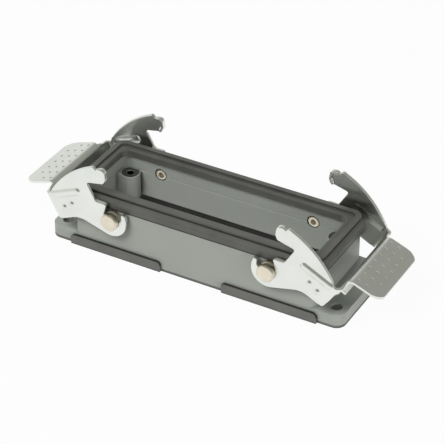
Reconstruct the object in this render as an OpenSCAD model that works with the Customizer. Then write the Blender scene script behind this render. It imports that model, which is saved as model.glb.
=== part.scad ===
// Surface mounting base housing of a heavy duty rectangular connector,
// with two locking levers. z = 0 is the underside of the panel gasket,
// X runs along the long side, Y across it, Z out of the panel.

/* [Panel flange] */
// overall length of the flange
flange_len = 144; // [120:0.5:170]
// overall width of the flange
flange_wid = 44.5; // [40:0.5:60]
// corner radius of the flange
flange_r = 4.5; // [2:0.5:8]
// height of the flange's top face
flange_top = 6.5; // [5:0.1:9]
// spacing of the fixing holes along X
hole_x = 133; // [110:0.5:150]
// spacing of the fixing holes along Y
hole_y = 32; // [28:0.5:40]
// diameter of the fixing holes
hole_d = 5; // [4:0.1:6]

/* [Housing body] */
// length of the body above the flange
body_len = 119; // [100:0.5:140]
// outer corner radius of the body
body_r = 3; // [1:0.5:6]
// height where the rim gasket's skirt starts
skirt_z = 24.4; // [20:0.1:30]
// top of the metal rim under the gasket
rim_z = 28.6; // [26:0.1:32]
// length of the insert opening
cavity_len = 114.4; // [100:0.2:130]
// width of the insert opening
cavity_wid = 34; // [30:0.2:40]
// height of the ledge inside the wall
ledge_z = 19.5; // [15:0.1:24]
// depth of that ledge
ledge_d = 0.3; // [0.1:0.1:1]
// height of the wider hollow at the panel side
mouth_z = 7.1; // [4:0.1:8]

/* [Insert posts] */
// spacing of the insert screws along X
post_x = 104; // [90:0.5:120]
// spacing of the insert screws along Y
post_y = 27; // [20:0.5:32]
// radius of each corner post
post_r = 4.5; // [3:0.1:6]
// core diameter of the insert screw thread
post_core_d = 3.3; // [2.5:0.1:4]

/* [Panel gasket] */
// thickness of the gasket under the flange
pad_t = 1.2; // [0.8:0.1:2]
// how far the side tabs stand out
tab_out = 1.2; // [0.8:0.1:2]
// height of the side tabs
tab_top = 4.9; // [3:0.1:6]
// inner end of each side tab
tab_x0 = 15.2; // [5:0.2:30]
// outer end of each side tab
tab_x1 = 60.8; // [40:0.2:66]

/* [Pivot pins] */
// distance of the pin axes from the middle
pin_x = 38.3; // [30:0.1:50]
// height of the pin axes
pin_z = 20.4; // [16:0.1:24]
// diameter of the pin heads
head_d = 8.1; // [7:0.1:10]
// diameter of the bearing shoulder
shoulder_d = 7.1; // [5:0.1:8]
// diameter of the shank in the wall
shank_d = 5; // [4:0.1:6]
// outer face of the pin heads
head_y = 27.8; // [27:0.1:30]

/* [Locking levers] */
// outer face of the lever arms
arm_y = 25.6; // [25:0.05:27]
// sheet thickness
sheet_t = 1.4; // [0.8:0.05:2]
// radius of the jaw's bearing
jaw_bore_r = 3.6; // [3:0.05:4]
// outer radius of the jaw
jaw_r = 7.6; // [6:0.1:9]
// half width of the grip
grip_hw = 18.5; // [14:0.5:22]
// length of the grip plate
grip_len = 13.5; // [8:0.5:18]
// droop of the grip plate in degrees
grip_droop = 19.5; // [0:0.2:30]
// resting angle of the left lever
left_turn = 1.7; // [-10:0.1:60]
// resting angle of the right lever
right_turn = -1.7; // [-10:0.1:60]

/* [Hidden] */
$fn = 48;
wall_y = flange_wid / 2;
wall_x = body_len / 2;
cav_x = cavity_len / 2;
cav_y = cavity_wid / 2;
e = 0.01;
lean = 29;

// rounded rectangle from its half sizes
module rrect(hx, hy, r) {
    square([2 * hx, 2 * (hy - r)], center = true);
    square([2 * (hx - r), 2 * hy], center = true);
    for (sx = [-1, 1]) for (sy = [-1, 1])
        translate([sx * (hx - r), sy * (hy - r)]) circle(r = r);
}

module slab(z0, z1) {
    translate([0, 0, z0]) linear_extrude(height = z1 - z0) children();
}

// a section of points [out, z] carried round a rounded rectangle
module sweep_ring(cx, cy, sec) {
    for (q = [[1, 1, 0], [-1, 1, 90], [-1, -1, 180], [1, -1, 270]])
        translate([q[0] * cx, q[1] * cy, 0]) rotate([0, 0, q[2]])
            rotate_extrude(angle = 90) polygon(sec);
    for (s = [0, 180]) rotate([0, 0, s]) {
        translate([-cx, cy, 0]) rotate([90, 0, 90])
            linear_extrude(height = 2 * cx) polygon(sec);
        translate([cx, cy, 0]) rotate([90, 0, 0])
            linear_extrude(height = 2 * cy) polygon(sec);
    }
}

// points of an arc
function arc(c, r, a0, a1, n) =
    [for (i = [0:n]) [c[0] + r * cos(a0 + (a1 - a0) * i / n),
        c[1] + r * sin(a0 + (a1 - a0) * i / n)]];
function unit(v) = v / norm(v);
function turn_of(a, b) = atan2(a[0] * b[1] - a[1] * b[0], a * b);
// one corner [x, y, r] of an outline, rounded by its own radius
function corner(a, p, b) =
    let (u = unit([a[0] - p[0], a[1] - p[1]]), v = unit([b[0] - p[0], b[1] - p[1]]),
        t = turn_of(u, v), h = abs(t) / 2, d = p[2] / tan(h),
        m = unit(u + v), c = [p[0], p[1]] + m * (p[2] / sin(h)),
        s = [p[0], p[1]] + u * d - c, a0 = atan2(s[1], s[0]),
        w = t > 0 ? -(180 - abs(t)) : 180 - abs(t),
        n = max(2, ceil(abs(w) / 12)))
    arc(c, p[2], a0, a0 + w, n);
function rounded(pts) =
    let (n = len(pts))
    [for (i = [0:n - 1]) each (len(pts[i]) < 3 || pts[i][2] == 0) ?
        [[pts[i][0], pts[i][1]]] :
        corner(pts[(i + n - 1) % n], pts[i], pts[(i + 1) % n])];

// ---- housing: one grey casting, open at the top and at the bottom
module pin_spots() {
    for (sx = [-1, 1]) for (sy = [-1, 1])
        translate([sx * pin_x, 0, pin_z]) rotate([sy * -90, 0, 0]) children();
}

module housing() {
    color([0.57, 0.59, 0.57]) difference() {
        union() {
            slab(pad_t, flange_top) rrect(flange_len / 2, wall_y, flange_r);
            slab(pad_t, skirt_z) rrect(wall_x, wall_y, body_r);
            slab(skirt_z - 1, rim_z) rrect(60.8, 20.6, 4.5);
        }
        difference() {
            slab(-1, rim_z + 1) rrect(cav_x, cav_y, 4.5);
            difference() {
                slab(-1, ledge_z) rrect(cav_x + 1, cav_y + 1, 4.5);
                slab(-2, ledge_z + 1) rrect(cav_x - ledge_d, cav_y - ledge_d, 4.5);
            }
            for (sx = [-1, 1]) for (sy = [-1, 1])
                translate([sx * post_x / 2, sy * post_y / 2, -1]) {
                    cylinder(r = post_r, h = ledge_z + 1);
                    translate([sx > 0 ? 0 : -8, sy > 0 ? 0 : -8, 0])
                        cube([8, 8, ledge_z + 1]);
                    translate([sx > 0 ? 0 : -8, -post_r, 0])
                        cube([8, 2 * post_r, ledge_z + 1]);
                }
        }
        // the wall is hollowed out wider behind the panel side
        slab(-1, mouth_z) rrect(cav_x + 1.5, cav_y + 3.4, 5);
        for (sx = [-1, 1]) for (sy = [-1, 1]) {
            translate([sx * hole_x / 2, sy * hole_y / 2, -1])
                cylinder(d = hole_d, h = flange_top + 2);
            translate([sx * post_x / 2, sy * post_y / 2, ledge_z - 11])
                cylinder(d = post_core_d, h = 12);
        }
        pin_spots() {
            translate([0, 0, 10]) cylinder(d = shank_d, h = 20);
            translate([0, 0, 10]) cylinder(d = 6, h = 8.3);
        }
    }
}

// ---- rim gasket: dark rubber moulding pushed over the metal rim
module rim_gasket() {
    color([0.26, 0.26, 0.25]) {
        sweep_ring(51.7, 11.5, concat([[4, 26.6], [5.5, 26.6], [5.5, rim_z],
            [9, rim_z], [9, 29.9]], arc([4.9, 29], 0.9, 90, 180, 6)));
        sweep_ring(56.3, 16.1, concat([[2.16, rim_z], [4.5, rim_z],
            [4.5, skirt_z], [6.25, skirt_z], [6.25, 27], [6.1, 27.5], [4.3, 29.2],
            [4.4, 29.6]], arc([4.35, 30.4], 0.4, 0, 90, 4), [[2.16, 30.8]]));
    }
}

// ---- panel gasket: dark rubber ring with four side tabs
module panel_gasket() {
    color([0.22, 0.22, 0.21]) {
        difference() {
            slab(0, pad_t) rrect(flange_len / 2, wall_y, flange_r);
            slab(-1, pad_t + 1) rrect(cav_x + 1.5, cav_y + 1.5, 5);
            for (sx = [-1, 1]) for (sy = [-1, 1])
                translate([sx * hole_x / 2, sy * hole_y / 2, -1])
                    cylinder(d = hole_d + 0.6, h = pad_t + 2);
        }
        for (s = [0, 180]) for (m = [-1, 1]) rotate([0, 0, s])
            translate([0, -wall_y, 0]) rotate([90, 0, 0])
                linear_extrude(height = tab_out) polygon(rounded([
                    [m * tab_x0, 0], [m * tab_x0, tab_top, 1.6],
                    [m * tab_x1, tab_top, 2.2], [m * tab_x1, 0]]));
    }
}

// ---- pivot pins: head, bearing shoulder, collar and a peened tube end
module pin(s) {
    color([0.8, 0.77, 0.7]) rotate([s * -90, 0, 0]) difference() {
        union() {
            translate([0, 0, arm_y + 0.2]) cylinder(d = head_d, h = head_y - arm_y - 0.6);
            translate([0, 0, head_y - 0.4]) cylinder(d1 = head_d, d2 = head_d - 0.8, h = 0.4);
            translate([0, 0, 24]) cylinder(d = shoulder_d, h = arm_y + 0.21 - 24);
            translate([0, 0, wall_y]) cylinder(d = 7.8, h = arm_y - sheet_t - 0.15 - wall_y);
            translate([0, 0, 17.2]) cylinder(d = shank_d, h = wall_y - 17.1);
            translate([0, 0, 17.2]) cylinder(d1 = 5, d2 = 5.6, h = 0.5);
            translate([0, 0, 17.7]) cylinder(d = 5.6, h = 0.6);
        }
        translate([0, 0, 17]) cylinder(d = 2.4, h = 1.4);
    }
}

// ---- locking lever: one folded sheet, u outwards from the pin, w upwards
// side outline of an arm, with its jaw, hook and foot
arm_pts = rounded(concat([[-7.6, 1.8, 3], [-6.7, 5, 0.8], [-4.9, 4.6, 0.6],
    [-5.1, 1.9, 1.2], [-3.3, 0], [-3.3, -1], [3.3, -1], [3.5, 1.2], [3.2, 3.4, 3],
    [2.2, 7.6, 0.9], [7.7, 7.6, 1], [12.4, 15.7, 0.9], [10.3, 16.1, 0.6],
    [3.9, 17.6, 1.3], [2.8, 20, 2], [3.4, 24.6, 2], [6.9, 24.4, 1],
    [7.6, 23.4, 0.5], [9, 25.2, 1.2]],
    arc([-7.3, -14.55], 42.7, 65.5, 26, 14),
    [[30.2, 3.1], [26, -4.4], [24.3, -7.4], [16.2, -3.5, 9],
    [1, -7.6, 7.6], [-7.6, -7.6, 7.55]]));

module across(y0, y1) {
    translate([0, y1, 0]) rotate([90, 0, 0]) linear_extrude(height = y1 - y0) children();
}

// bead pressed into the arm from outside, and two dimples beside it
bead_a = [17, 9.3];
bead_b = [31.5, 2.6];
module bead(r, off) {
    d = bead_b - bead_a;
    translate([bead_a[0], off, bead_a[1]]) rotate([0, 90 - atan2(d[1], d[0]) , 0])
        cylinder(r = r, h = norm(d));
    translate([bead_a[0], off, bead_a[1]]) sphere(r = r);
}

module arm_front() {
    difference() {
        union() {
            across(-arm_y, -arm_y + sheet_t) polygon(arm_pts);
            // lips turned inwards at the hook, the jaw tip and the shoulder
            across(-arm_y, -arm_y + 2.3) intersection() {
                polygon(arm_pts);
                union() {
                    polygon(rounded([[5.2, 16], [4.9, 18.6, 0.4], [4, 20.2, 1],
                        [4.5, 23.2, 1.2], [6.3, 23.3], [6.1, 26], [0, 26], [0, 16]]));
                    polygon(rounded([[-6.3, 1.4], [-5.9, 3.6, 0.4], [-4.2, 3.6],
                        [-4.2, 6], [-9, 6], [-9, 1.4]]));
                    polygon([[1.5, 6.4], [8.3, 6.4], [8.3, 9], [1.5, 9]]);
                }
            }
            intersection() {
                bead(3.5, -arm_y - 1.35);
                across(-arm_y + 0.2, -arm_y + 3) polygon(arm_pts);
            }
        }
        bead(2.3, -arm_y - 1.35);
        translate([0, -arm_y + 4, 0]) rotate([90, 0, 0]) cylinder(r = jaw_bore_r, h = 8);
        for (p = [[23.6, -1.1], [19.8, 1.8]])
            translate([p[0], -arm_y - 0.75, p[1]]) sphere(r = 1.6);
    }
}

module lever_sheet() {
    t = sheet_t;
    ro = 3.6;
    c = [35.7, 0.8];
    n1 = 180 - lean;
    n2 = 90 - grip_droop;
    wall_p = c * [cos(lean), -sin(lean)] - (ro - t);
    dir = [cos(grip_droop), -sin(grip_droop)];
    in_u = [cos(n1), sin(n1)];
    up = [sin(lean), cos(lean)];
    foot = c + (ro - t) * in_u - 2.9 * up;
    tip_u = c[0] + ro * cos(n2) + grip_len * dir[0];
    arm_front();
    mirror([0, 1, 0]) arm_front();
    union() {
        // wall, crest, grip and the outward flange under the wall, one section
        intersection() {
            across(-24, 24) polygon(concat(
                arc(c, ro, n1, n2, 8), [c + ro * [cos(n2), sin(n2)] + grip_len * dir],
                [c + (ro - t) * [cos(n2), sin(n2)] + grip_len * dir],
                arc(c, ro - t, n2, n1, 8),
                [foot, foot - 2.2 * in_u, foot - 2.2 * in_u - t * up, foot - t * up,
                foot - t * up + t * in_u]));
            union() {
                slab(-6, 10) intersection() {
                    rrect(tip_u + 0.3, grip_hw, 6);
                    translate([33.6, -30]) square([30, 60]);
                }
                translate([20, 0, 0]) rotate([90, 0, 90]) linear_extrude(height = 14.2)
                    polygon([[-19.6, -6], [-19.6, 1.4], [-22.6, 2.2], [-22.4, 2.8],
                        [-grip_hw, 4.2], [-grip_hw, 9], [grip_hw, 9], [grip_hw, 4.2],
                        [22.4, 2.8], [22.6, 2.2], [19.6, 1.4], [19.6, -6]]);
            }
        }
        // folded foot edges and the necks that join the arms to the wall
        intersection() {
            rotate([0, lean, 0]) slab(-20, 24) difference() {
                rrect(wall_p, arm_y, 3.1);
                rrect(wall_p - t, arm_y - t, 3.1 - t);
                translate([-60, -30]) square([84.4, 60]);
            }
            rotate([0, lean, 0]) across(-30, 30) polygon(rounded([[24.4, 5.45],
                [26.9, 5.7, 1.2], [27.4, 9.5], [27.7, 14.6, 1.5], [28.4, 16, 1],
                [30, 16], [30, 18.9], [27.7, 18.9, 1], [26.2, 18.2, 1],
                [24.4, 18.3]]));
            // below the neck only the curled edge at the corner is left
            rotate([0, lean, 0]) union() {
                translate([20, -30, 15.6]) cube([20, 60, 10]);
                for (y = [-30, 21.8]) translate([20, y, 0]) cube([20, 8.2, 20]);
            }
        }
    }
}

module lever(turn) {
    color([0.86, 0.88, 0.85]) translate([pin_x, 0, pin_z]) rotate([0, -turn, 0])
        lever_sheet();
}

housing();
rim_gasket();
panel_gasket();
translate([-pin_x, 0, pin_z]) pin(-1);  // pin_left_front
translate([-pin_x, 0, pin_z]) pin(1);  // pin_left_rear
translate([pin_x, 0, pin_z]) pin(-1);  // pin_right_front
translate([pin_x, 0, pin_z]) pin(1);  // pin_right_rear
rotate([0, 0, 180]) lever(left_turn);  // lever_left
lever(right_turn);  // lever_right
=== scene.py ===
"""Looks for the base housing of a heavy duty rectangular connector.

Everything is in metres, in the CAD's frame: X along the long side, Y across
it, Z out of the panel, zero on the underside of the panel gasket.
"""
import math
import bmesh
import bpy
from mathutils import Matrix, Vector


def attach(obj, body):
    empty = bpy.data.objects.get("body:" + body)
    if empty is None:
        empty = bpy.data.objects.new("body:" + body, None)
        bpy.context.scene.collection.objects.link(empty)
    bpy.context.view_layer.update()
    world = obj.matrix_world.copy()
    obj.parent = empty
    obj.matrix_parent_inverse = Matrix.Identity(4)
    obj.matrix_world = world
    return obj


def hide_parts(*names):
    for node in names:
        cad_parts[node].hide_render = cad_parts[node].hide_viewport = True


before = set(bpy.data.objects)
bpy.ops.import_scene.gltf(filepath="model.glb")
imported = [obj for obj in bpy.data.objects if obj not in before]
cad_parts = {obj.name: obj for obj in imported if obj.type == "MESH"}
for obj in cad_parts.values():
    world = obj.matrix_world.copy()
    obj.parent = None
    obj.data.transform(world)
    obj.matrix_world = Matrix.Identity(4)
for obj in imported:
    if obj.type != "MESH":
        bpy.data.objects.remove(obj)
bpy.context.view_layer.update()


# ---- View: a long lens above the right front corner, looking down at the
# open side of the housing. It is level but for a small roll.
MM = 0.001
view_azimuth = math.radians(29.05)
view_elevation = math.radians(34.06)
view_roll = math.radians(0.27)
camera_place = Vector((355.15, -634.67, 509.36)) * MM
film_width = 36
lens_length = 163.77
nearest_seen = 0.05
farthest_seen = 20

back = Vector((math.sin(view_azimuth) * math.cos(view_elevation),
               -math.cos(view_azimuth) * math.cos(view_elevation),
               math.sin(view_elevation)))
level = Vector((math.cos(view_azimuth), math.sin(view_azimuth), 0))
upright = back.cross(level)
right = level * math.cos(view_roll) + upright * math.sin(view_roll)
up = upright * math.cos(view_roll) - level * math.sin(view_roll)
camera_data = bpy.data.cameras.new("view")
camera_data.sensor_width = film_width
camera_data.lens = lens_length
camera_data.clip_start = nearest_seen
camera_data.clip_end = farthest_seen
camera = bpy.data.objects.new("view", camera_data)
camera.matrix_world = Matrix.Translation(camera_place) @ Matrix(
    (right, up, back)).transposed().to_4x4()
bpy.context.scene.collection.objects.link(camera)
bpy.context.scene.camera = camera
bpy.context.scene.view_settings.view_transform = "Standard"


# ---- Table top: a broad pale sheet under the object. It shows plain white to
# the eye and in the metal's reflections, but keeps a soft shadow.
table_reach = 3.0
table_drop = 0.1 * MM
table_colour = (0.5, 0.5, 0.49, 1)
white_share = 0.95
white = (1, 1, 1, 1)


def new_material(name):
    material = bpy.data.materials.new(name)
    material.use_nodes = True
    tree = material.node_tree
    tree.nodes.clear()
    output = tree.nodes.new("ShaderNodeOutputMaterial")
    return material, tree, output


def glowing(tree, kind, colour, strength):
    glow = tree.nodes.new(kind)
    glow.inputs["Color"].default_value = colour
    glow.inputs["Strength"].default_value = strength
    return glow


def mixed(tree, share, first, second):
    blend = tree.nodes.new("ShaderNodeMixShader")
    tree.links.new(share, blend.inputs["Fac"])
    tree.links.new(first, blend.inputs[1])
    tree.links.new(second, blend.inputs[2])
    return blend.outputs[0]


table_look, tree, output = new_material("table_white")
matt = tree.nodes.new("ShaderNodeBsdfDiffuse")
matt.inputs["Color"].default_value = table_colour
glow = glowing(tree, "ShaderNodeEmission", white, 1.0)
path = tree.nodes.new("ShaderNodeLightPath")
seen = tree.nodes.new("ShaderNodeMath")
seen.operation = "MAXIMUM"
tree.links.new(path.outputs["Is Camera Ray"], seen.inputs[0])
tree.links.new(path.outputs["Is Glossy Ray"], seen.inputs[1])
share = tree.nodes.new("ShaderNodeMath")
share.operation = "MULTIPLY"
share.inputs[1].default_value = white_share
tree.links.new(seen.outputs[0], share.inputs[0])
tree.links.new(mixed(tree, share.outputs[0], matt.outputs[0], glow.outputs[0]),
               output.inputs["Surface"])

table_mesh = bpy.data.meshes.new("table_top")
table_mesh.from_pydata([(-table_reach, -table_reach, 0), (table_reach, -table_reach, 0),
                        (table_reach, table_reach, 0), (-table_reach, table_reach, 0)],
                       [], [(0, 1, 2, 3)])
table_mesh.materials.append(table_look)
table = bpy.data.objects.new("table_top", table_mesh)
table.location.z = -table_drop
bpy.context.scene.collection.objects.link(table)


# ---- Studio: a white room with four soft lamps. What the metal mirrors is pale
# low down and at the back, and dim above, to the right and towards the front.
room_grey = (0.8, 0.8, 0.8, 1)
room_strength = 0.45
dim_side = (0.6, -0.3, 1.0)
dim_from = 0.32
pale_wall = (0.82, 0.82, 0.80)
dim_ceiling = (0.32, 0.32, 0.29)
lamp_aim = Vector((0, 0, 0.01))


def spread(tree, fac, low, high, low_at=0.3, high_at=0.7):
    ramp = tree.nodes.new("ShaderNodeValToRGB")
    ramp.color_ramp.elements[0].position = low_at
    ramp.color_ramp.elements[0].color = (*low, 1)
    ramp.color_ramp.elements[1].position = high_at
    ramp.color_ramp.elements[1].color = (*high, 1)
    tree.links.new(fac, ramp.inputs[0])
    return ramp.outputs[0]


def softbox(name, place, size, watts):
    lamp = bpy.data.lights.new(name, "AREA")
    lamp.shape = "RECTANGLE"
    lamp.size, lamp.size_y = size
    lamp.energy = watts
    lit = bpy.data.objects.new(name, lamp)
    lit.location = place
    lit.rotation_euler = (lamp_aim - Vector(place)).to_track_quat("-Z", "Y").to_euler()
    lit.visible_glossy = False
    bpy.context.scene.collection.objects.link(lit)


room = bpy.data.worlds.new("room")
room.use_nodes = True
bpy.context.scene.world = room
tree = room.node_tree
tree.nodes.clear()
output = tree.nodes.new("ShaderNodeOutputWorld")
backdrop = glowing(tree, "ShaderNodeBackground", white, 1.0)
fill = glowing(tree, "ShaderNodeBackground", room_grey, room_strength)
gleam = glowing(tree, "ShaderNodeBackground", white, 1.0)
direction = tree.nodes.new("ShaderNodeTexCoord")
towards = tree.nodes.new("ShaderNodeVectorMath")
towards.operation = "DOT_PRODUCT"
towards.inputs[1].default_value = dim_side
tree.links.new(direction.outputs["Generated"], towards.inputs[0])
tree.links.new(spread(tree, towards.outputs["Value"], pale_wall, dim_ceiling, 0.0, dim_from),
               gleam.inputs["Color"])
path = tree.nodes.new("ShaderNodeLightPath")
lit_by = mixed(tree, path.outputs["Is Glossy Ray"], fill.outputs[0], gleam.outputs[0])
tree.links.new(mixed(tree, path.outputs["Is Camera Ray"], lit_by, backdrop.outputs[0]),
               output.inputs["Surface"])

softbox("front_softbox", place=(-0.25, -0.72, 0.95), size=(0.7, 0.5), watts=14.5)
softbox("right_softbox", place=(0.85, -0.3, 0.16), size=(0.5, 0.2), watts=3.4)
softbox("right_overhead_softbox", place=(0.75, 0.0, 0.75), size=(0.4, 0.4), watts=1.8)
softbox("rear_softbox", place=(-0.15, 0.9, 0.3), size=(0.7, 0.3), watts=3.5)


# ---- Panel gasket: a moulded ring of dark rubber under the flange, held by
# four upstanding tabs on the long sides. Matt, with a dusty bloom.
smudges_finer = 2.3
pore_depth = 0.05 * MM
corner_shut = 0.25
corner_open = 0.95
corner_samples = 8
flat_within = math.radians(0.5)
sharp_from = math.radians(35)
edge_steps = 2
weld_reach = 0.001 * MM
panel_edge = 0.15 * MM


def grain(tree, name, scale, detail, roughness):
    place = tree.nodes.new("ShaderNodeTexCoord")
    noise = tree.nodes.new("ShaderNodeTexNoise")
    noise.name = name
    noise.inputs["Scale"].default_value = scale
    noise.inputs["Detail"].default_value = detail
    noise.inputs["Roughness"].default_value = roughness
    tree.links.new(place.outputs["Object"], noise.inputs["Vector"])
    return noise.outputs["Fac"]


def level_of(tree, fac, low, high):
    span = tree.nodes.new("ShaderNodeMapRange")
    span.inputs["To Min"].default_value = low
    span.inputs["To Max"].default_value = high
    tree.links.new(fac, span.inputs["Value"])
    return span


# Painted shade: darkens a colour where ambient occlusion finds corners, creases and gaps,
# standing in for the shade that falls there.
def painted_corner_shade(tree, colour, reach, shade):
    corner = tree.nodes.new("ShaderNodeAmbientOcclusion")
    corner.samples = corner_samples
    corner.inputs["Distance"].default_value = reach
    painted_darkening = level_of(tree, corner.outputs["AO"], shade, 1.0)
    painted_darkening.inputs["From Min"].default_value = corner_shut
    painted_darkening.inputs["From Max"].default_value = corner_open
    shaded = tree.nodes.new("ShaderNodeVectorMath")
    shaded.operation = "SCALE"
    tree.links.new(colour, shaded.inputs[0])
    tree.links.new(painted_darkening.outputs[0], shaded.inputs["Scale"])
    return shaded.outputs[0]


def finish_of(name, colours, patch_scale, rough, pore_scale, pores, metallic=0, corners=None):
    material, tree, output = new_material(name)
    shader = tree.nodes.new("ShaderNodeBsdfPrincipled")
    shader.inputs["Metallic"].default_value = metallic
    tree.links.new(shader.outputs[0], output.inputs["Surface"])
    patches = grain(tree, "patches", patch_scale, detail=4.0, roughness=0.6)
    colour = spread(tree, patches, *colours)
    if corners:
        colour = painted_corner_shade(tree, colour, *corners)
    tree.links.new(colour, shader.inputs["Base Color"])
    smudges = grain(tree, "smudges", patch_scale * smudges_finer, detail=3.0, roughness=0.6)
    tree.links.new(level_of(tree, smudges, *rough).outputs[0], shader.inputs["Roughness"])
    relief = tree.nodes.new("ShaderNodeBump")
    relief.inputs["Distance"].default_value = pore_depth
    relief.inputs["Strength"].default_value = pores
    tree.links.new(grain(tree, "pores", pore_scale, detail=2.0, roughness=0.5),
                   relief.inputs["Height"])
    tree.links.new(relief.outputs[0], shader.inputs["Normal"])
    return material


def dress(node, material):
    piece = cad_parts[node]
    piece.data.materials.clear()
    piece.data.materials.append(material)
    return piece


def weld_corners(piece):
    weld = piece.modifiers.new("weld", "WELD")
    weld.merge_threshold = weld_reach


def round_edges(piece, width, flatten=True):
    weld_corners(piece)
    if flatten:
        flat = piece.modifiers.new("flat", "DECIMATE")
        flat.decimate_type = "DISSOLVE"
        flat.angle_limit = flat_within
    edge = piece.modifiers.new("edge", "BEVEL")
    edge.width = width
    edge.segments = edge_steps
    edge.limit_method = "ANGLE"
    edge.angle_limit = sharp_from
    edge.use_clamp_overlap = False
    piece.data.shade_smooth()
    piece.modifiers.new("even", "WEIGHTED_NORMAL")


# The rubber's colour is darkened in corners and creases: painted shade.
panel_rubber = finish_of("panel_rubber",
                         colours=((0.095, 0.095, 0.089), (0.130, 0.130, 0.121)),
                         patch_scale=60, rough=(0.55, 0.75), pore_scale=2500, pores=0.2,
                         corners=(1.4 * MM, 0.15))
round_edges(dress("panel_gasket", panel_rubber), panel_edge)


# ---- Mouth shade: a thin black sheet round the panel opening, behind the casting's
# inner edge. It is painted shadow, standing in for the deep shade in the recess there.
mouth_half = Vector((58.55, 20.25)) * MM
mouth_corner = 4.9 * MM
mouth_shade_thickness = 0.5 * MM
mouth_shade_low = 0.1 * MM
mouth_shade_high = 6.95 * MM
corner_steps = 8
# Near-black finish used only as painted shade, for the mouth shade and the tab caps.
painted_shade_black = finish_of("painted_shade_black",
                         colours=((0.014, 0.014, 0.013), (0.024, 0.024, 0.022)),
                         patch_scale=60, rough=(0.6, 0.8), pore_scale=2500, pores=0.2)


def rounded_loop(shape, half, corner, height):
    loop = []
    for quarter in range(4):
        start = quarter * math.pi / 2
        centre_x = (half.x - corner) * (1 if quarter in (0, 3) else -1)
        centre_y = (half.y - corner) * (1 if quarter in (0, 1) else -1)
        for step in range(corner_steps + 1):
            angle = start + math.pi / 2 * step / corner_steps
            loop.append(shape.verts.new((centre_x + corner * math.cos(angle),
                                         centre_y + corner * math.sin(angle), height)))
    return loop


def wall_between(shape, one, other):
    for j in range(len(one)):
        following = (j + 1) % len(one)
        shape.faces.new((one[j], one[following], other[following], other[j]))


def rubber_band(shape, half, corner, low, high, thickness):
    thinner = Vector((thickness, thickness))
    loops = [rounded_loop(shape, half, corner, low),
             rounded_loop(shape, half, corner, high),
             rounded_loop(shape, half - thinner, corner - thickness, high),
             rounded_loop(shape, half - thinner, corner - thickness, low)]
    for one, other in zip(loops, loops[1:] + loops[:1]):
        wall_between(shape, one, other)


def added_piece(name, shape, material, body, smooth=False):
    mesh = bpy.data.meshes.new(name)
    shape.to_mesh(mesh)
    shape.free()
    mesh.materials.append(material)
    if smooth:
        mesh.shade_smooth()
    piece = bpy.data.objects.new(name, mesh)
    bpy.context.scene.collection.objects.link(piece)
    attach(piece, body)


shape = bmesh.new()
rubber_band(shape, mouth_half, mouth_corner, mouth_shade_low, mouth_shade_high, mouth_shade_thickness)
bmesh.ops.recalc_face_normals(shape, faces=shape.faces)
added_piece("mouth_shade", shape, painted_shade_black, "base")


# ---- Tab caps: a thin black sheet of painted shade on top of each upstanding tab of
# the panel gasket, along its top edge. It follows the tab's rounded shoulders.
tab_start = 15.2 * MM
tab_end = 60.8 * MM
tab_top = 4.9 * MM
tab_back = 22.26 * MM
tab_front = 23.47 * MM
start_shoulder = 1.6 * MM
end_shoulder = 2.2 * MM
shoulder_steps = 6
cap_half_thickness = 0.05 * MM
cap_section = ((-cap_half_thickness, tab_back), (-cap_half_thickness, tab_front),
               (cap_half_thickness, tab_front), (cap_half_thickness, tab_back))


def tab_top_shade(shape, side_x, side_y):
    loops = []
    for centre_x, radius, start in ((tab_start + start_shoulder, start_shoulder, 180),
                                    (tab_end - end_shoulder, end_shoulder, 90)):
        for step in range(shoulder_steps + 1):
            angle = math.radians(start - 90 * step / shoulder_steps)
            loop = []
            for skin, depth in cap_section:
                reach = radius + skin
                loop.append(shape.verts.new((side_x * (centre_x + reach * math.cos(angle)),
                                             side_y * depth,
                                             tab_top - radius + reach * math.sin(angle))))
            loops.append(loop)
    for one, other in zip(loops, loops[1:]):
        wall_between(shape, one, other)
    shape.faces.new(loops[0])
    shape.faces.new(loops[-1])


shape = bmesh.new()
for side_x in (-1, 1):
    for side_y in (-1, 1):
        tab_top_shade(shape, side_x, side_y)
bmesh.ops.recalc_face_normals(shape, faces=shape.faces)
added_piece("tab_top_shades", shape, painted_shade_black, "base")


# ---- Housing: an aluminium die casting with flange, hollow body and four
# screw posts, powder coated in satin grey.
housing_edge = 0.15 * MM
# The paint's colour is darkened in corners and recesses: painted shade.
housing_paint = finish_of("housing_paint",
                          colours=((0.250, 0.264, 0.240), (0.272, 0.287, 0.262)),
                          patch_scale=35, rough=(0.36, 0.46), pore_scale=1400, pores=0.15,
                          corners=(1.6 * MM, 0.45))
round_edges(dress("housing", housing_paint), housing_edge)


# ---- Screw faces: the bare metal ring that is left where each post is milled
# to height after painting, with the fine tapped thread inside its bore.
post_x = 52 * MM
post_y = 13.5 * MM
face_level = 19.5 * MM
face_lift = 0.015 * MM
face_radius = 4.05 * MM
face_foot_radius = 4.25 * MM
face_foot = -0.06 * MM
bore_mouth_radius = 1.78 * MM
thread_root_radius = 1.6 * MM
thread_crest_radius = 1.38 * MM
thread_start = -0.15 * MM
thread_pitch = 0.7 * MM
thread_depth = 6 * MM
face_sides = 48
# Radius and height over the milled face, from the outer foot down the bore.
face_rings = [(face_foot_radius, face_foot), (face_radius, face_lift),
              (bore_mouth_radius, face_lift), (thread_root_radius, thread_start)]
for half_turn in range(1, round(thread_depth / thread_pitch * 2)):
    face_rings.append((thread_crest_radius if half_turn % 2 else thread_root_radius,
                       thread_start - half_turn * thread_pitch / 2))
milled_metal = finish_of("milled_metal",
                         colours=((0.20, 0.20, 0.19), (0.27, 0.27, 0.25)),
                         patch_scale=400, rough=(0.10, 0.2), pore_scale=1200, pores=0.1,
                         metallic=1)


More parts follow.
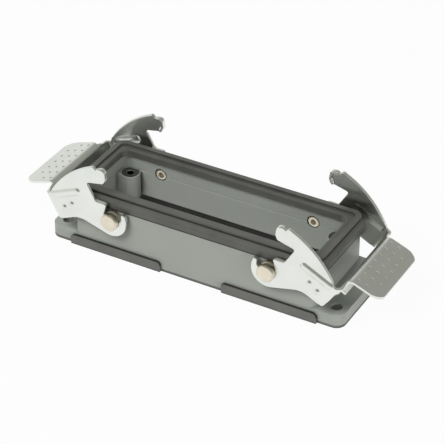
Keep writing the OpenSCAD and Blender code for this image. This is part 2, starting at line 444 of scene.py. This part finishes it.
def post_face(shape, spot_x, spot_y):
    rings = []
    for radius, lift in face_rings:
        ring = []
        for j in range(face_sides):
            angle = 2 * math.pi * j / face_sides
            ring.append(shape.verts.new((spot_x + radius * math.cos(angle),
                                         spot_y + radius * math.sin(angle),
                                         face_level + lift)))
        rings.append(ring)
    for outer, inner in zip(rings, rings[1:]):
        wall_between(shape, outer, inner)
    shape.faces.new(rings[-1])


shape = bmesh.new()
for side_x in (-1, 1):
    for side_y in (-1, 1):
        post_face(shape, side_x * post_x, side_y * post_y)
added_piece("post_faces", shape, milled_metal, "base", smooth=True)


# ---- Rim gasket: a dark moulded rubber frame with a sealing lip inside and a
# skirt over the top of the wall. It is pushed on and grips by itself.
rim_edge = 0.15 * MM
# The rubber's colour is darkened strongly in corners and grooves: painted shade.
rim_rubber = finish_of("rim_rubber",
                       colours=((0.054, 0.055, 0.050), (0.076, 0.077, 0.070)),
                       patch_scale=70, rough=(0.30, 0.42), pore_scale=2500, pores=0.12,
                       corners=(1.8 * MM, 0.05))
round_edges(dress("rim_gasket", rim_rubber), rim_edge)


# ---- Gasket shadow lines: two fine black bands of painted shadow round the rim gasket,
# one in the undercut under the raised strip and one along the bottom edge of the skirt.
corner_centre = Vector((56.3, 16.1)) * MM
# Each shadow line's corner radius, bottom, top and thickness.
strip_shadow_line = (4.55 * MM, 29.12 * MM, 29.62 * MM, 0.3 * MM)
skirt_shadow_line = (6.27 * MM, 24.22 * MM, 24.66 * MM, 0.5 * MM)
shadow_line_black = finish_of("shadow_line_black",
                        colours=((0.010, 0.010, 0.010), (0.018, 0.018, 0.017)),
                        patch_scale=60, rough=(0.6, 0.8), pore_scale=2500, pores=0.2)
shape = bmesh.new()
for corner, low, high, thickness in (strip_shadow_line, skirt_shadow_line):
    rubber_band(shape, corner_centre + Vector((corner, corner)), corner, low, high, thickness)
bmesh.ops.recalc_face_normals(shape, faces=shape.faces)
added_piece("gasket_shadow_lines", shape, shadow_line_black, "base")


# ---- Pivot pins: turned steel, pushed through the wall and peened inside. The
# heads keep a warm bright plating.
pin_edge = 0.1 * MM
pin_steel = finish_of("pin_steel",
                      colours=((0.74, 0.68, 0.55), (0.84, 0.78, 0.65)),
                      patch_scale=300, rough=(0.25, 0.4), pore_scale=3000, pores=0.2,
                      metallic=1)
for node in ("pin_left_front", "pin_left_rear", "pin_right_front", "pin_right_rear"):
    round_edges(dress(node, pin_steel), pin_edge, flatten=False)


# ---- Locking levers: sheet steel, blanked, pressed and folded in one piece,
# then plated. The press leaves soft edges, and a bead and two dimples that
# stand out of each arm. Places are measured outwards and up from the pivot.
left_turn = math.radians(1.7)
right_turn = math.radians(-1.7)
pivot_place = Vector((38.3, 20.4)) * MM
arm_outside = 25.6 * MM
arm_inside = 24.2 * MM
bead_start = Vector((17.0, 9.3)) * MM
bead_end = Vector((31.5, 2.6)) * MM
bead_runs_to = 1.1
bead_axis_y = arm_outside + 1.35 * MM
bead_outer_radius = 2.3 * MM
bead_inner_radius = 3.5 * MM
dimple_spots = (Vector((23.6, -1.1)) * MM, Vector((19.8, 1.8)) * MM)
dimple_axis_y = arm_outside + 0.75 * MM
dimple_radius = 1.6 * MM
on_surface = 0.03 * MM
pressing_grain = 0.28 * MM
pressing_passes = 2
lever_steel = finish_of("lever_steel",
                        colours=((0.78, 0.805, 0.765), (0.84, 0.86, 0.825)),
                        patch_scale=90, rough=(0.26, 0.34), pore_scale=1500, pores=0.03,
                        metallic=1)


def turned(out, rise, turn):
    return Vector((out * math.cos(turn) - rise * math.sin(turn),
                   out * math.sin(turn) + rise * math.cos(turn)))


def bead_distance(spot, across):
    run = bead_end - bead_start
    along = min(max((spot - bead_start).dot(run) / run.length_squared, 0.0), bead_runs_to)
    nearest = bead_start + along * run
    return math.hypot((spot - nearest).length, across - bead_axis_y)


# The solid's bead and dimples go inwards, and each is mirrored in the arm's face.
def pressed_out(spot, across):
    away = bead_distance(spot, across)
    stands = across
    if across < arm_outside and abs(away - bead_outer_radius) < on_surface:
        stands = 2 * arm_outside - across
    elif across < arm_inside and abs(away - bead_inner_radius) < on_surface:
        stands = 2 * arm_inside - across
    for dimple in dimple_spots:
        away = math.hypot((spot - dimple).length, across - dimple_axis_y)
        if across < arm_outside and abs(away - dimple_radius) < on_surface:
            stands = 2 * arm_outside - across
    return stands


def pressed_lever(node, side, turn, body):
    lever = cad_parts[node]
    mesh = lever.data.copy()
    mesh.transform(lever.matrix_world)
    for corner in mesh.vertices:
        spot = turned(side * corner.co.x - pivot_place.x, corner.co.z - pivot_place.y, -turn)
        corner.co.y = math.copysign(pressed_out(spot, abs(corner.co.y)), corner.co.y)
    mesh.materials.clear()
    mesh.materials.append(lever_steel)
    sheet = bpy.data.objects.new(node + "_sheet", mesh)
    bpy.context.scene.collection.objects.link(sheet)
    weld_corners(sheet)
    press = sheet.modifiers.new("press", "REMESH")
    press.mode = "VOXEL"
    press.voxel_size = pressing_grain
    press.use_smooth_shade = True
    ease = sheet.modifiers.new("ease", "SMOOTH")
    ease.iterations = pressing_passes
    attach(sheet, body)
    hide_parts(node)


pressed_lever("lever_left", -1, left_turn, "left_lever")
pressed_lever("lever_right", 1, right_turn, "right_lever")


# ---- Grip bumps: three rows of small domes raised in each lever's grip, so
# that a finger doesn't slip off the smooth plate. Pressed from below.
crest_centre = Vector((35.7, 0.8)) * MM
crest_radius = 3.6 * MM
grip_droop = math.radians(19.5)
bump_radius = 0.72 * MM
bump_height = 0.27 * MM
bump_root = 0.12 * bump_height
bump_pitch = 5.2 * MM
# How far down the grip each row is, and its bumps either side of the middle.
bump_rows = ((0.6 * MM, 3), (4.6 * MM, 3), (8.7 * MM, 2))
bump_rings = 4
bump_sides = 14


def lever_place(side, turn, spot, across):
    swung = turned(spot.x, spot.y, turn)
    return Vector((side * (pivot_place.x + swung.x), across, pivot_place.y + swung.y))


def grip_spot(along, lift):
    run = Vector((math.cos(grip_droop), -math.sin(grip_droop)))
    out = Vector((math.sin(grip_droop), math.cos(grip_droop)))
    return crest_centre + crest_radius * out + along * run + lift * out


def grip_bump(shape, side, turn, row_along, row_across):
    top = shape.verts.new(lever_place(side, turn, grip_spot(row_along, bump_height),
                                      row_across))
    rings = []
    for step in range(1, bump_rings + 1):
        lean = math.pi / 2 * step / bump_rings
        out = bump_radius * math.sin(lean)
        lift = bump_height * math.cos(lean) - (bump_root if step == bump_rings else 0)
        ring = []
        for j in range(bump_sides):
            angle = 2 * math.pi * j / bump_sides
            ring.append(shape.verts.new(lever_place(
                side, turn, grip_spot(row_along + out * math.cos(angle), lift),
                row_across + out * math.sin(angle))))
        rings.append(ring)
    for j in range(bump_sides):
        shape.faces.new((top, rings[0][j], rings[0][(j + 1) % bump_sides]))
    for upper, lower in zip(rings, rings[1:]):
        wall_between(shape, upper, lower)
    shape.faces.new(rings[-1])


def grip_bumps(name, side, turn, body):
    shape = bmesh.new()
    for row_along, each_way in bump_rows:
        for k in range(-each_way, each_way + 1):
            grip_bump(shape, side, turn, row_along, k * bump_pitch)
    bmesh.ops.recalc_face_normals(shape, faces=shape.faces)
    added_piece(name, shape, lever_steel, body, smooth=True)


grip_bumps("grip_bumps_left", -1, left_turn, "left_lever")
grip_bumps("grip_bumps_right", 1, right_turn, "right_lever")


# ---- Fold webs: the small stretched bit of sheet left in each corner where an
# arm folds off the crossbar. It closes the corner above the finger gap.
wall_lean = math.radians(29)
web_near = 19.0 * MM
web_far = 22.7 * MM
web_start = -0.2 * MM
web_near_depth = 4.6 * MM
web_far_depth = 4.0 * MM
web_outside = crest_radius - 0.1 * MM
web_inside = crest_radius - 1.3 * MM
web_round = 0.35 * MM
web_round_steps = 3
web_corners = ((web_start, web_near), (web_start, web_far),
               (web_far_depth, web_far), (web_near_depth, web_near))


def fold_web(shape, side, turn, end):
    wall_out = Vector((-math.cos(wall_lean), math.sin(wall_lean)))
    wall_down = Vector((-math.sin(wall_lean), -math.cos(wall_lean)))
    skins = []
    for skin in (web_outside, web_inside):
        corners = []
        for down, across in web_corners:
            spot = crest_centre + skin * wall_out + down * wall_down
            corners.append(shape.verts.new(lever_place(side, turn, spot, end * across)))
        skins.append(corners)
    shape.faces.new(skins[0])
    shape.faces.new(skins[1])
    wall_between(shape, skins[0], skins[1])


def fold_webs(name, side, turn, body):
    shape = bmesh.new()
    for end in (-1, 1):
        fold_web(shape, side, turn, end)
    bmesh.ops.recalc_face_normals(shape, faces=shape.faces)
    bmesh.ops.bevel(shape, geom=shape.edges[:], offset=web_round,
                    segments=web_round_steps, affect="EDGES", profile=0.5)
    added_piece(name, shape, lever_steel, body, smooth=True)


fold_webs("fold_webs_left", -1, left_turn, "left_lever")
fold_webs("fold_webs_right", 1, right_turn, "right_lever")
